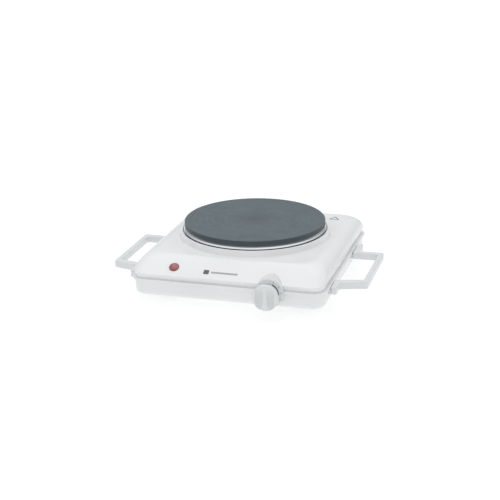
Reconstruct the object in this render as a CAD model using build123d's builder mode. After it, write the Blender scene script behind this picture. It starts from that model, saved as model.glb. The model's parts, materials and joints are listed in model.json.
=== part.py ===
"""Single electric hot plate: cast-iron cooking plate, white sheet case, heat knob, lamp and two handles.

Millimetres, +Z up. The origin is on the ground, under the middle of the overall width and depth.
The front, with the knob and the lamp, faces -Y.
"""

import os
from math import cos, degrees, radians, sin, sqrt

from build123d import *

os.makedirs("parts", exist_ok=True)

# Cooking plate
PLATE_Y = 13.0  # the plate's axis lies this far behind the origin
PLATE_R = 92.5
PLATE_TOP = 79.0
RIM_BOTTOM = 71.5
RIM_WIDTH = 4.0
PLATE_FACE = 6.5  # thickness of the cooking face above the coil grooves
RIDGE_BOTTOM = 66.8
CAP_THICKNESS = 0.8
COIL_Z = 69.8
COIL_TUBE = 2.5
COIL_LEG = 1.2
LEG_SPACING = 11.0  # between the two legs of one coil
LEG_BOTTOM = 58.0
COIL_GAP = 8.0  # between the two ends of one coil
INNER_COIL_R = 49.5
OUTER_COIL_R = 73.5
INNER_GROOVE = (39.0, 60.0)
OUTER_GROOVE = (63.0, 84.0)
RIDGE_WIDTH = 3.0
BOSS_R = 14.0
BOSS_BOTTOM = 64.0
CENTRE_RECESS_R = 17.0
CENTRE_RECESS = 0.5
CENTRE_RAMP = 5.0
EDGE_CHAMFER = 1.2

# Spill ring, as radius and height: pressed from thin sheet, it drops over the collar's inside
RING_IN = 87.5
RING_TOP_SHEET = 0.9
RING_OUTSIDE = [
    (91.3, 71.5),
    (91.9, 71.2),
    (92.3, 69.6),
    (93.4, 68.3),
    (93.9, 67.5),
    (93.7, 66.7),
    (92.8, 66.3),
]
RING_INSIDE = [(91.4, 69.4), (90.8, 70.6)]
RING_FOOT_R = 92.6
RING_SHEET = 1.0

# Case
SHEET = 1.2
DECK_TOP = 58.5
DECK_HALF = 102.0
DECK_FRONT = -93.5  # where the slope would meet the deck if it ran on straight
DECK_BACK = 115.0
DECK_CORNER = 22.0
SKIRT_TOP = 41.0
SKIRT_BOTTOM = 33.8
SHELL_HALF = 123.5
SHELL_FRONT = -124.0
SHELL_BACK = 137.0
SHELL_CORNER = 17.0
SKIRT_DRAFT = 2.0
SHOULDER_STEPS = 6
SLOPE_EASE = 4.5  # how much further back the slope runs to meet the deck smoothly
COLLAR_TOP = 66.6
COLLAR_FOOT_R = 99.8
COLLAR_TOP_R = 96.3
COLLAR_IN_R = 94.8
SEAT_TOP = 62.2

# Base pan
PAN_BOTTOM = 11.0
PAN_WALL = 1.5
PAN_FLOOR = PAN_BOTTOM + PAN_WALL
PAN_HALF = 123.0
PAN_FRONT = -123.0
PAN_BACK = 136.0
PAN_CORNER = 17.0
PAN_ROUND = 7.0
LIP_BOTTOM = 30.8
LIP_TOP = SKIRT_BOTTOM
LIP_REACH = 3.0
LIP_INSIDE = 4.5
LIP_ROUND = 1.2
TONGUE_TOP = 37.0
TONGUE_WALL = 1.4

SEAT_DEPTH = 18.0  # how far back from the dial face the pan is cut for the bezel
TONGUE_CORNER = 14.0
SLOT_LENGTH = 34.0
SLOT_WIDTH = 5.0
SLOT_PITCH = (44.0, 13.0)
FLOOR_HOLE = 1.8

# Feet and corner pillars
PILLAR_X = 86.0
PILLAR_FRONT = -78.0
PILLAR_BACK = 104.0
PILLAR_R = 5.0
FOOT_TOP_R = 9.0
FOOT_GROUND_R = 7.5
FOOT_RECESS = 5.0
FOOT_RECESS_R = 4.2
FOOT_SCREW_R = 2.0
FOOT_SCREW_HEAD_R = 3.8
FOOT_SCREW_HEAD = 2.5
FOOT_SCREW_TOP = 26.0
PILLAR_BORE_TOP = 28.5
FLOOR_SCREW_R = 1.5
FLOOR_SCREW_HEAD_R = 3.2
FLOOR_SCREW_HEAD = 2.0
FLOOR_SCREW_TOP = 20.0

# Knob, dial and thermostat, measured forwards from the dial face
KNOB_X = 57.0
KNOB_Z = 31.2
DIAL_Y = -129.0
BEZEL_R = 18.3
BEZEL_WALL = 1.5
BEZEL_FACE = 2.0
BEZEL_DEPTH = 21.0
BEZEL_LOWER_DEPTH = 11.5
BEZEL_EDGE = 0.8
KNOB_GAP = 0.8
KNOB_DEPTH = 18.0
KNOB_BACK_R = 12.0
KNOB_FRONT_R = 16.3
KNOB_RECESS_R = 9.5
KNOB_RECESS = 5.5
KNOB_EDGE = 1.8
KNOB_FLARE = (8.0, 14.0)  # where the flare starts and ends
KNOB_BORE_END = 16.0
SCOOP_R = 4.6
SCOOP_X = 7.2
SCOOP_CENTRE = 18.6  # in front of the dial, where the scoops are deepest
SCOOP_SWEEP = 23.0
SHAFT_R = 3.0
SHAFT_FLAT = 1.8
SHAFT_TIP = 15.5
SHAFT_END = -17.0
RUNNING_FIT = 0.05
BUSHING_R = 5.0
BUSHING_TIP = 4.5
BUSHING_END = -9.0
FLANGE_R = 7.0
NUT_R = 8.08
NUT_THICKNESS = 2.5
SCALE_PRINT = 0.25
SCALE_R = 13.0
SCALE_START = 67.0  # degrees, where the heat mark is widest
SCALE_SWEEP = 270.0
SCALE_WIDE = 3.4
SCALE_THIN = 0.4
TICKS = 10
TICK_R = 15.8
TICK_LENGTH = 3.4
TICK_WIDTH = 0.7
PLATE_STEEL = 1.5
FRAME_HALF = 14.3
FRAME_RISE = 7.0
FRAME_END_Y = -87.0
BRACKET_FRONT = -125.5
BRACKET_SHELF_Z = 16.0
BRACKET_DROP_Y = -113.5
BRACKET_FOOT_END = -98.0
BRACKET_TOP = 39.0
BRACKET_HALF = 6.0
BRACKET_WIDE = 8.0
BRACKET_FOOT_HALF = 12.0
BRACKET_SCREWS = [(KNOB_X - 8.0, -105.0), (KNOB_X + 8.0, -105.0)]
STAT_FRONT = -99.0
STAT_BACK = -87.0
STAT_RISE = 10.0
PIN_R = 1.6
PIN_FRONT = -111.95
PIN_BACK = -85.0
LEAF_HALF = 3.0
LEAF_FOOT = 5.0
LEAF_BLADE = 0.6
MOVING_LEAF = (45.0, 66.0)
MOVING_LEAF_Y = -83.6
FIXED_LEAF = (69.0, 60.0)
FIXED_LEAF_Y = -81.3
TAB_END = -76.0
CONTACT_R = 1.2
CONTACT_X = 64.0
CONTACT_THICKNESS = 0.7

# Pilot lamp
LAMP_X = -69.5
LAMP_Y = -111.7
LENS_R = 6.4
LENS_STEM_R = 4.9
LENS_RIM = 1.1
LENS_PROUD = 1.7
LENS_LENGTH = 6.0
LAMP_R = 4.6
LAMP_LENGTH = 28.0
LAMP_RING_R = 8.0
LAMP_RING_DEPTH = 1.3

# Carrying handles
GRIP_OUT = 167.3
GRIP_BAR = 6.6
GRIP_BOTTOM = 25.0
GRIP_TOP = 34.4
LUG_IN = 126.8
LUG_OUT = 134.0
LUG_FRONT = -99.0
LUG_BACK = 73.0
ARM_FRONT_ROOT = -79.0
ARM_FRONT_TIP = -70.0
ARM_BACK = 43.3
ARM_WIDTH = 8.6
LUG_SCREW_Z = 28.1
LUG_SCREWS_Y = (-85.0, 60.0)
LUG_FOOT_TOP = 30.5
LUG_HOLE_END = 131.0
GRIP_CORNER = 3.2
GRIP_SMALL_CORNER = 2.5
GRIP_EDGE = 1.3
HANDLE_SCREW_R = 1.5
HANDLE_SCREW_HEAD_R = 2.6
HANDLE_SCREW_HEAD = 2.0

# Plate clamp and heat shield
STUD_R = 3.0
STUD_TOP = 71.0
STUD_BOTTOM = 31.5
CLAMP_THICKNESS = 2.5
CLAMP_WIDTH = 22.0
CLAMP_LOW = 50.0
CLAMP_END = 116.0
CLAMP_BEND_LOW = 89.0
CLAMP_BEND_HIGH = 103.0
WASHER_R = 9.0
WASHER_BOTTOM = 48.5
STUD_NUT_R = 5.77
STUD_NUT = 5.0
SPACER_R = 4.5
SHIELD_HALF = 60.0
SHIELD_TOP = 37.8
SHIELD_SHEET = 0.8
CUTOUT_AT = (-31.8, -18.8)
CUTOUT_R = 8.5
CUTOUT_BOTTOM = 43.0
CUTOUT_STUD_R = 1.5
CUTOUT_STUD_TOP = 56.0
CUTOUT_NUT_R = 3.2
CUTOUT_NUT = 2.4
TAB_SPACING = 8.0
TAB_WIDTH = 6.3
TAB_THICKNESS = 0.8
TAB_BOTTOM = 39.5
CONNECTOR_LENGTH = 38.0
CONNECTOR_WIDTH = 20.0
CONNECTOR_R = 61.0
CONNECTOR_BOTTOM = 56.0
POST_R = 1.5
POST_BOTTOM = 46.0

# Mains side
GLAND_X = -50.0
GLAND_Z = 23.5
GLAND_BORE = 3.1
GLAND_BARREL_R = 4.5
GLAND_INNER_END = 128.0
GLAND_FLANGE_R = 7.2
GLAND_FLANGE = 2.5
GLAND_TAIL = 147.0
GLAND_TAIL_R = (5.6, 4.8)
GLAND_NUT_R = 6.0
GLAND_NUT = 3.5
BLOCK_Y = 100.0
BLOCK_SIZE = (32.0, 16.0, 14.0)
BLOCK_SCREWS = [(GLAND_X - 5.0, BLOCK_Y), (GLAND_X + 5.0, BLOCK_Y)]
INSERT_Z = 20.5
INSERT_PITCH = 10.0
INSERT_R = 2.6
INSERT_BORE = 1.4
INSERT_LENGTH = 20.0
EARTH_AT = (0.0, 112.0)
EARTH_SCREW_R = 2.0
EARTH_SCREW_TOP = 22.0
EARTH_NUT_R = 4.0
EARTH_NUT = 3.0
LUG_RING_R = 4.5
LUG_SHEET = 0.8
LUG_BARREL_Z = 14.4
LUG_BARREL_R = 1.8
LUG_BARREL = (98.0, 105.0)

LEAD_R = 1.2
LAMP_LEAD_R = 0.8
LEAD_BEND = 3.0
LEAD_IN_Y = 96.0
LEAD_HIGH = 41.0
LAMP_LEAD_HIGH = 40.2
CLEAR = 0.1  # gap round a part that is screwed or pushed through a hole

DECK_UNDER = DECK_TOP - SHEET
GROOVE_TOP = PLATE_TOP - PLATE_FACE
PLATE_AXIS = Axis((0, PLATE_Y, 0), (0, 0, 1))
PLATE_SECTION = Plane(origin=(0, PLATE_Y, 0), x_dir=(1, 0, 0), z_dir=(0, -1, 0))
DIAL = Plane(origin=(KNOB_X, DIAL_Y, KNOB_Z), x_dir=(1, 0, 0), z_dir=(0, -1, 0))
KNOB_SECTION = Plane(origin=(KNOB_X, DIAL_Y, KNOB_Z), x_dir=(1, 0, 0), z_dir=(0, 0, -1))
KNOB_AXIS = Axis((KNOB_X, DIAL_Y, KNOB_Z), (0, -1, 0))
INLET = Plane(origin=(GLAND_X, PAN_BACK, GLAND_Z), x_dir=(-1, 0, 0), z_dir=(0, 1, 0))
PILLARS = [(x, y) for x in (-PILLAR_X, PILLAR_X) for y in (PILLAR_FRONT, PILLAR_BACK)]

SLOPE_RUN = DECK_FRONT - SHELL_FRONT
SLOPE_RISE = DECK_TOP - SKIRT_TOP
SLOPE_LENGTH = sqrt(SLOPE_RUN**2 + SLOPE_RISE**2)
LAMP_AXIS = (0, -SLOPE_RISE / SLOPE_LENGTH, SLOPE_RUN / SLOPE_LENGTH)
LAMP_Z = SKIRT_TOP + SLOPE_RISE * (LAMP_Y - SHELL_FRONT) / SLOPE_RUN
LAMP = Plane(origin=(LAMP_X, LAMP_Y, LAMP_Z), x_dir=(1, 0, 0), z_dir=LAMP_AXIS)
LAMP_SECTION = Plane(
    origin=(LAMP_X, LAMP_Y, LAMP_Z),
    x_dir=(1, 0, 0),
    z_dir=(0, -SLOPE_RUN / SLOPE_LENGTH, -SLOPE_RISE / SLOPE_LENGTH),
)
# The block that holds the coils' legs lies along a radius to the front right.
CONNECTOR = Plane(origin=(0, PLATE_Y, 0), x_dir=(1, -1, 0), z_dir=(0, 0, 1))
POST_RADII = (50.0, 57.0, 64.0, 71.0)
# The clamp bar lies across it, from the front left to the back right.
CLAMP_SECTION = Plane(origin=(0, PLATE_Y, 0), x_dir=(1, 1, 0), z_dir=(1, -1, 0))
LEAF_LEVEL = Plane.XY.offset(KNOB_Z - LEAF_HALF)
CUTOUT_TABS = [(CUTOUT_AT[0] + side * TAB_SPACING / 2, CUTOUT_AT[1]) for side in (-1, 1)]


def footprint(half_width, front, back, corner):
    """Draws a rounded rectangle from y = front to y = back in the open sketch."""
    with Locations((0, (front + back) / 2)):
        RectangleRounded(2 * half_width, back - front, corner)


def shoulder_outline(step, inset):
    """Gives level and footprint of the shell at one step of its rounded shoulder, from skirt to deck."""
    rise = sin(radians(90) * step / SHOULDER_STEPS)
    spread = cos(radians(90) * step / SHOULDER_STEPS)
    level = SKIRT_TOP + (SLOPE_RISE - inset) * rise
    half_width = DECK_HALF + (SHELL_HALF - DECK_HALF) * spread
    front = SHELL_FRONT + SLOPE_RUN * rise + SLOPE_EASE * (1 - spread) ** 3
    back = DECK_BACK + (SHELL_BACK - DECK_BACK) * spread
    corner = DECK_CORNER + (SHELL_CORNER - DECK_CORNER) * spread
    return level, (half_width - inset, front + inset, back - inset, corner - inset)


def skirt_outline(draft, inset):
    """Gives the footprint of the shell's skirt where it has drawn in by the draft."""
    reach = draft + inset
    return SHELL_HALF - reach, SHELL_FRONT + reach, SHELL_BACK - reach, SHELL_CORNER - reach


# ---------------------------------------------------------------- case

with BuildPart() as top_shell:
    for inset, mode in ((0, Mode.ADD), (SHEET, Mode.SUBTRACT)):
        for step in range(SHOULDER_STEPS + 1):
            level, outline = shoulder_outline(step, inset)
            with BuildSketch(Plane.XY.offset(level)):
                footprint(*outline)
        loft(mode=mode)
        for level, draft in ((SKIRT_TOP, 0), (SKIRT_BOTTOM, SKIRT_DRAFT)):
            with BuildSketch(Plane.XY.offset(level)):
                footprint(*skirt_outline(draft, inset))
        loft(mode=mode)
    with BuildSketch(Plane.XY.offset(SKIRT_TOP)):
        with Locations((0, PLATE_Y)):
            Circle(COLLAR_FOOT_R - SHEET)
    extrude(amount=DECK_TOP, mode=Mode.SUBTRACT)
    with BuildSketch(PLATE_SECTION):
        with BuildLine():
            Polyline(
                (COLLAR_FOOT_R, DECK_TOP),
                (COLLAR_FOOT_R - 1, DECK_TOP + 1),
                (COLLAR_TOP_R + 0.5, COLLAR_TOP - 0.6),
                (COLLAR_TOP_R, COLLAR_TOP),
                (COLLAR_IN_R + 0.3, COLLAR_TOP),
                (COLLAR_IN_R, COLLAR_TOP - 0.3),
                (COLLAR_IN_R, SEAT_TOP),
                (PLATE_R - 3, SEAT_TOP),
                (PLATE_R - 3, SEAT_TOP - SHEET),
                (COLLAR_TOP_R, SEAT_TOP - SHEET),
                (COLLAR_FOOT_R - SHEET, DECK_UNDER),
                (COLLAR_FOOT_R, DECK_UNDER),
                close=True,
            )
        make_face()
    revolve(axis=PLATE_AXIS)
    with BuildSketch(DIAL):
        Circle(BEZEL_R + CLEAR)
    extrude(amount=-2 * BEZEL_DEPTH, mode=Mode.SUBTRACT)
    with BuildSketch(LAMP.offset(SHEET)):
        Circle(LENS_STEM_R + CLEAR)
    extrude(amount=-4 * SHEET, mode=Mode.SUBTRACT)
top_shell.part.label = "top_shell"
export_step(top_shell.part, "parts/top_shell.step")

with BuildPart() as base_pan:
    with BuildSketch(Plane.XY.offset(PAN_BOTTOM)):
        footprint(PAN_HALF, PAN_FRONT, PAN_BACK, PAN_CORNER)
    extrude(amount=LIP_BOTTOM - PAN_BOTTOM)
    fillet(base_pan.faces().sort_by(Axis.Z)[0].edges(), PAN_ROUND)
    offset(amount=-PAN_WALL, openings=base_pan.faces().sort_by(Axis.Z)[-1])
    # Rolled lip that the shell's skirt stands on
    with BuildSketch(Plane.XY.offset(LIP_BOTTOM)) as lip_outline:
        footprint(PAN_HALF + LIP_REACH, PAN_FRONT - LIP_REACH, PAN_BACK + LIP_REACH, PAN_CORNER + LIP_REACH)
    extrude(amount=LIP_TOP - LIP_BOTTOM)
    fillet(base_pan.faces().sort_by(Axis.Z)[-1].edges(), LIP_ROUND)
    inside = (PAN_HALF - LIP_INSIDE, PAN_FRONT + LIP_INSIDE, PAN_BACK - LIP_INSIDE)
    with BuildSketch(Plane.XY.offset(LIP_TOP)):
        footprint(inside[0] + TONGUE_WALL, inside[1] - TONGUE_WALL, inside[2] + TONGUE_WALL, TONGUE_CORNER)
    extrude(amount=TONGUE_TOP - LIP_TOP)
    with BuildSketch(Plane.XY.offset(LIP_BOTTOM)):
        footprint(*inside, TONGUE_CORNER - TONGUE_WALL)
    extrude(amount=TONGUE_TOP - LIP_BOTTOM, mode=Mode.SUBTRACT)
    # Seat of the dial bezel, and the cord inlet's hole in the back wall
    with BuildSketch(DIAL):
        Circle(BEZEL_R + CLEAR)
    extrude(amount=-SEAT_DEPTH, mode=Mode.SUBTRACT)
    with BuildSketch(Plane(origin=(GLAND_X, PAN_BACK, GLAND_Z), z_dir=(0, 1, 0))):
        Circle(GLAND_BARREL_R + CLEAR)
    extrude(amount=-PAN_WALL, mode=Mode.SUBTRACT)
    # Air slots and screw holes in the floor
    with BuildSketch(Plane.XY.offset(PAN_BOTTOM)):
        with Locations((0, PLATE_Y)):
            with GridLocations(*SLOT_PITCH, 2, 6):
                SlotOverall(SLOT_LENGTH, SLOT_WIDTH)
        with Locations(*PILLARS):
            Circle(FOOT_SCREW_R + 2 * CLEAR)
        with Locations(*BRACKET_SCREWS, *BLOCK_SCREWS):
            Circle(FLOOR_HOLE)
        with Locations(EARTH_AT):
            Circle(EARTH_SCREW_R + CLEAR)
    extrude(amount=PAN_WALL, mode=Mode.SUBTRACT)
    # The handles' screws pass the side walls
    for side in (-1, 1):
        with BuildSketch(Plane(origin=(side * PAN_HALF, 0, 0), x_dir=(0, side, 0), z_dir=(side, 0, 0))):
            with Locations(*[(side * y, LUG_SCREW_Z) for y in LUG_SCREWS_Y]):
                Circle(HANDLE_SCREW_R + CLEAR)
        extrude(amount=-PAN_WALL, mode=Mode.SUBTRACT)
base_pan.part.label = "base_pan"
export_step(base_pan.part, "parts/base_pan.step")

# ---------------------------------------------------------------- feet, pillars and their screws

with BuildPart() as corner_pillars:
    with BuildSketch(Plane.XY.offset(PAN_FLOOR)):
        with Locations(*PILLARS):
            Circle(PILLAR_R)
    extrude(amount=DECK_UNDER - PAN_FLOOR)
    with BuildSketch(Plane.XY.offset(PAN_FLOOR)):
        with Locations(*PILLARS):
            Circle(FOOT_SCREW_R)
    extrude(amount=PILLAR_BORE_TOP - PAN_FLOOR, mode=Mode.SUBTRACT)
corner_pillars.part.label = "corner_pillars"
export_step(corner_pillars.part, "parts/corner_pillars.step")

with BuildPart() as feet:
    with Locations(*[(x, y, PAN_BOTTOM / 2) for x, y in PILLARS]):
        Cone(FOOT_GROUND_R, FOOT_TOP_R, PAN_BOTTOM)
    with BuildSketch():
        with Locations(*PILLARS):
            Circle(FOOT_RECESS_R)
    extrude(amount=FOOT_RECESS, mode=Mode.SUBTRACT)
    with BuildSketch(Plane.XY.offset(FOOT_RECESS)):
        with Locations(*PILLARS):
            Circle(FOOT_SCREW_R + CLEAR)
    extrude(amount=PAN_BOTTOM - FOOT_RECESS, mode=Mode.SUBTRACT)
feet.part.label = "feet"
export_step(feet.part, "parts/feet.step")

with BuildPart() as foot_screws:
    with BuildSketch(Plane.XY.offset(FOOT_RECESS)):
        with Locations(*PILLARS):
            Circle(FOOT_SCREW_HEAD_R)
    extrude(amount=-FOOT_SCREW_HEAD)
    with BuildSketch(Plane.XY.offset(FOOT_RECESS)):
        with Locations(*PILLARS):
            Circle(FOOT_SCREW_R)
    extrude(amount=FOOT_SCREW_TOP - FOOT_RECESS)
foot_screws.part.label = "foot_screws"
export_step(foot_screws.part, "parts/foot_screws.step")

with BuildPart() as floor_screws:
    with BuildSketch(Plane.XY.offset(PAN_BOTTOM)):
        with Locations(*BRACKET_SCREWS, *BLOCK_SCREWS):
            Circle(FLOOR_SCREW_HEAD_R)
    extrude(amount=-FLOOR_SCREW_HEAD)
    with BuildSketch(Plane.XY.offset(PAN_BOTTOM)):
        with Locations(*BRACKET_SCREWS, *BLOCK_SCREWS):
            Circle(FLOOR_SCREW_R)
    extrude(amount=FLOOR_SCREW_TOP - PAN_BOTTOM)
floor_screws.part.label = "floor_screws"
export_step(floor_screws.part, "parts/floor_screws.step")

# ---------------------------------------------------------------- carrying handles

with BuildPart() as handle_right:
    with BuildSketch(Plane.XY.offset(GRIP_BOTTOM)) as grip_outline:
        with BuildLine():
            Polyline(
                (LUG_IN, LUG_FRONT),
                (LUG_OUT, LUG_FRONT),
                (LUG_OUT, ARM_FRONT_ROOT),
                (GRIP_OUT, ARM_FRONT_TIP),
                (GRIP_OUT, ARM_BACK),
                (LUG_OUT, ARM_BACK),
                (LUG_OUT, LUG_BACK),
                (LUG_IN, LUG_BACK),
                (LUG_IN, ARM_BACK - ARM_WIDTH),
                (GRIP_OUT - GRIP_BAR, ARM_BACK - ARM_WIDTH),
                (GRIP_OUT - GRIP_BAR, ARM_FRONT_TIP + ARM_WIDTH),
                (LUG_IN, ARM_FRONT_TIP),
                close=True,
            )
        make_face()
        fillet(grip_outline.vertices().group_by(Axis.X)[-1], GRIP_CORNER)
        inner_corners = grip_outline.vertices().filter_by_position(Axis.X, LUG_IN, GRIP_OUT - GRIP_BAR)
        fillet(inner_corners, GRIP_SMALL_CORNER)
    extrude(amount=GRIP_TOP - GRIP_BOTTOM)
    fillet(handle_right.faces().filter_by(Axis.Z).edges(), GRIP_EDGE)
    # Feet of the two lugs reach under the pan's lip to its wall
    with BuildSketch(Plane.XY.offset(GRIP_BOTTOM)):
        for front, back in ((LUG_FRONT, ARM_FRONT_TIP), (ARM_BACK - ARM_WIDTH, LUG_BACK)):
            with Locations(((PAN_HALF + LUG_OUT) / 2 - GRIP_EDGE, (front + back) / 2)):
                Rectangle(LUG_OUT - PAN_HALF - 2 * GRIP_EDGE, back - front - 2 * GRIP_SMALL_CORNER)
    extrude(amount=LUG_FOOT_TOP - GRIP_BOTTOM)
    with BuildSketch(Plane(origin=(PAN_HALF, 0, 0), x_dir=(0, 1, 0), z_dir=(1, 0, 0))):
        with Locations(*[(y, LUG_SCREW_Z) for y in LUG_SCREWS_Y]):
            Circle(HANDLE_SCREW_R)
    extrude(amount=LUG_HOLE_END - PAN_HALF, mode=Mode.SUBTRACT)
handle_right.part.label = "handle_right"
export_step(handle_right.part, "parts/handle_right.step")

with BuildPart() as handle_left:
    mirror(handle_right.part, about=Plane.YZ)
handle_left.part.label = "handle_left"
export_step(handle_left.part, "parts/handle_left.step")

with BuildPart() as handle_screws:
    for side in (-1, 1):
        for radius, start, end in (
            (HANDLE_SCREW_HEAD_R, PAN_HALF - PAN_WALL, PAN_HALF - PAN_WALL - HANDLE_SCREW_HEAD),
            (HANDLE_SCREW_R, PAN_HALF - PAN_WALL, LUG_HOLE_END),
        ):
            with BuildSketch(Plane(origin=(side * start, 0, 0), x_dir=(0, side, 0), z_dir=(side, 0, 0))):
                with Locations(*[(side * y, LUG_SCREW_Z) for y in LUG_SCREWS_Y]):
                    Circle(radius)
            extrude(amount=end - start)
handle_screws.part.label = "handle_screws"
export_step(handle_screws.part, "parts/handle_screws.step")

# ---------------------------------------------------------------- dial, knob and thermostat


def shaft_outline(gap):
    """Draws the flatted round of the shaft's front end, grown by a gap, in the open sketch."""
    Circle(SHAFT_R + gap)
    with Locations((0, SHAFT_FLAT + gap + SHAFT_R)):
        Rectangle(4 * SHAFT_R, 2 * SHAFT_R, mode=Mode.SUBTRACT)


with BuildPart() as dial_bezel:
    with BuildSketch(DIAL):
        Circle(BEZEL_R)
    extrude(amount=-BEZEL_DEPTH)
    fillet(dial_bezel.edges().group_by(Axis.Y)[0], BEZEL_EDGE)
    with BuildSketch(DIAL.offset(-BEZEL_FACE)):
        Circle(BEZEL_R - BEZEL_WALL)
    extrude(amount=BEZEL_FACE - BEZEL_DEPTH, mode=Mode.SUBTRACT)
    with BuildSketch(DIAL):
        Circle(BUSHING_R + CLEAR)
    extrude(amount=-BEZEL_FACE, mode=Mode.SUBTRACT)
    # The lower half of the wall stops short, in front of the thermostat's bracket
    with BuildSketch(DIAL.offset(-BEZEL_LOWER_DEPTH)):
        with Locations((0, -BEZEL_R)):
            Rectangle(4 * BEZEL_R, 2 * BEZEL_R)
    extrude(amount=-BEZEL_DEPTH, mode=Mode.SUBTRACT)
dial_bezel.part.label = "dial_bezel"
export_step(dial_bezel.part, "parts/dial_bezel.step")

with BuildPart() as dial_scale:
    with BuildSketch(DIAL):
        with BuildLine():
            heat_mark = []
            for step in range(TICKS):
                turned = radians(SCALE_START - SCALE_SWEEP * step / (TICKS - 1))
                reach = SCALE_R - SCALE_WIDE + (SCALE_WIDE - SCALE_THIN) * step / (TICKS - 1)
                heat_mark.append((reach * cos(turned), reach * sin(turned)))
            inner_edge = Spline(*heat_mark)
            outer_edge = CenterArc((0, 0), SCALE_R, SCALE_START, -SCALE_SWEEP)
            Line(inner_edge @ 0, outer_edge @ 0)
            Line(inner_edge @ 1, outer_edge @ 1)
        make_face()
        for step in range(TICKS):
            turned = SCALE_START - SCALE_SWEEP * step / (TICKS - 1)
            with Locations((TICK_R * cos(radians(turned)), TICK_R * sin(radians(turned)))):
                Rectangle(TICK_LENGTH, TICK_WIDTH, rotation=turned)
    extrude(amount=SCALE_PRINT)
dial_scale.part.label = "dial_scale"
export_step(dial_scale.part, "parts/dial_scale.step")

with BuildPart() as knob:
    with BuildSketch(KNOB_SECTION):
        with BuildLine():
            Polyline(
                (0, KNOB_RECESS),
                (KNOB_RECESS_R, KNOB_RECESS),
                (KNOB_RECESS_R, KNOB_GAP),
                (KNOB_BACK_R, KNOB_GAP),
            )
            Bezier(
                (KNOB_BACK_R, KNOB_GAP),
                (KNOB_BACK_R, KNOB_FLARE[0]),
                (KNOB_FRONT_R, KNOB_FLARE[0]),
                (KNOB_FRONT_R, KNOB_FLARE[1]),
            )
            Polyline(
                (KNOB_FRONT_R, KNOB_FLARE[1]),
                (KNOB_FRONT_R, KNOB_DEPTH),
                (0, KNOB_DEPTH),
                (0, KNOB_RECESS),
            )
        make_face()
    revolve(axis=KNOB_AXIS)
    fillet(knob.edges().group_by(Axis.Y)[0], KNOB_EDGE)
    with BuildSketch(KNOB_SECTION):
        with Locations((-SCOOP_X, SCOOP_CENTRE), (SCOOP_X, SCOOP_CENTRE)):
            Circle(SCOOP_R)
    revolve(
        axis=Axis((KNOB_X, DIAL_Y - SCOOP_CENTRE - SCOOP_SWEEP, KNOB_Z), (1, 0, 0)),
        mode=Mode.SUBTRACT,
    )
    with BuildSketch(DIAL.offset(KNOB_RECESS)):
        shaft_outline(RUNNING_FIT)
    extrude(amount=KNOB_BORE_END - KNOB_RECESS, mode=Mode.SUBTRACT)
knob.part.label = "knob"
export_step(knob.part, "parts/knob.step")

with BuildPart() as thermostat_shaft:
    with BuildSketch(DIAL.offset(SHAFT_END)):
        Circle(SHAFT_R)
    extrude(amount=KNOB_RECESS - CLEAR - SHAFT_END)
    with BuildSketch(DIAL.offset(KNOB_RECESS - CLEAR)):
        shaft_outline(0)
    extrude(amount=SHAFT_TIP - KNOB_RECESS + CLEAR)
thermostat_shaft.part.label = "thermostat_shaft"
export_step(thermostat_shaft.part, "parts/thermostat_shaft.step")

with BuildPart() as thermostat_bushing:
    with BuildSketch(DIAL.offset(BUSHING_END)):
        Circle(BUSHING_R)
    extrude(amount=BUSHING_TIP - BUSHING_END)
    with BuildSketch(DIAL.offset(-BEZEL_FACE - 2 * PLATE_STEEL)):
        Circle(FLANGE_R)
    extrude(amount=-PLATE_STEEL)
    with BuildSketch(DIAL.offset(BUSHING_END)):
        Circle(SHAFT_R + RUNNING_FIT)
    extrude(amount=BUSHING_TIP - BUSHING_END, mode=Mode.SUBTRACT)
thermostat_bushing.part.label = "thermostat_bushing"
export_step(thermostat_bushing.part, "parts/thermostat_bushing.step")

with BuildPart() as bushing_nut:
    with BuildSketch(DIAL):
        RegularPolygon(NUT_R, 6)
        Circle(BUSHING_R, mode=Mode.SUBTRACT)
    extrude(amount=NUT_THICKNESS)
bushing_nut.part.label = "bushing_nut"
export_step(bushing_nut.part, "parts/bushing_nut.step")

with BuildPart() as thermostat_frame:
    with BuildSketch(Plane.XY.offset(KNOB_Z - FRAME_RISE)):
        with BuildLine():
            Polyline(
                (KNOB_X - FRAME_HALF, FRAME_END_Y),
                (KNOB_X - FRAME_HALF, DIAL_Y + BEZEL_FACE),
                (KNOB_X + FRAME_HALF, DIAL_Y + BEZEL_FACE),
                (KNOB_X + FRAME_HALF, FRAME_END_Y),
                (KNOB_X + FRAME_HALF - PLATE_STEEL, FRAME_END_Y),
                (KNOB_X + FRAME_HALF - PLATE_STEEL, BRACKET_FRONT),
                (KNOB_X - FRAME_HALF + PLATE_STEEL, BRACKET_FRONT),
                (KNOB_X - FRAME_HALF + PLATE_STEEL, FRAME_END_Y),
                close=True,
            )
        make_face()
    extrude(amount=2 * FRAME_RISE)
    with BuildSketch(DIAL):
        Circle(BUSHING_R)
    extrude(amount=-BEZEL_DEPTH, mode=Mode.SUBTRACT)
thermostat_frame.part.label = "thermostat_frame"
export_step(thermostat_frame.part, "parts/thermostat_frame.step")

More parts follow.
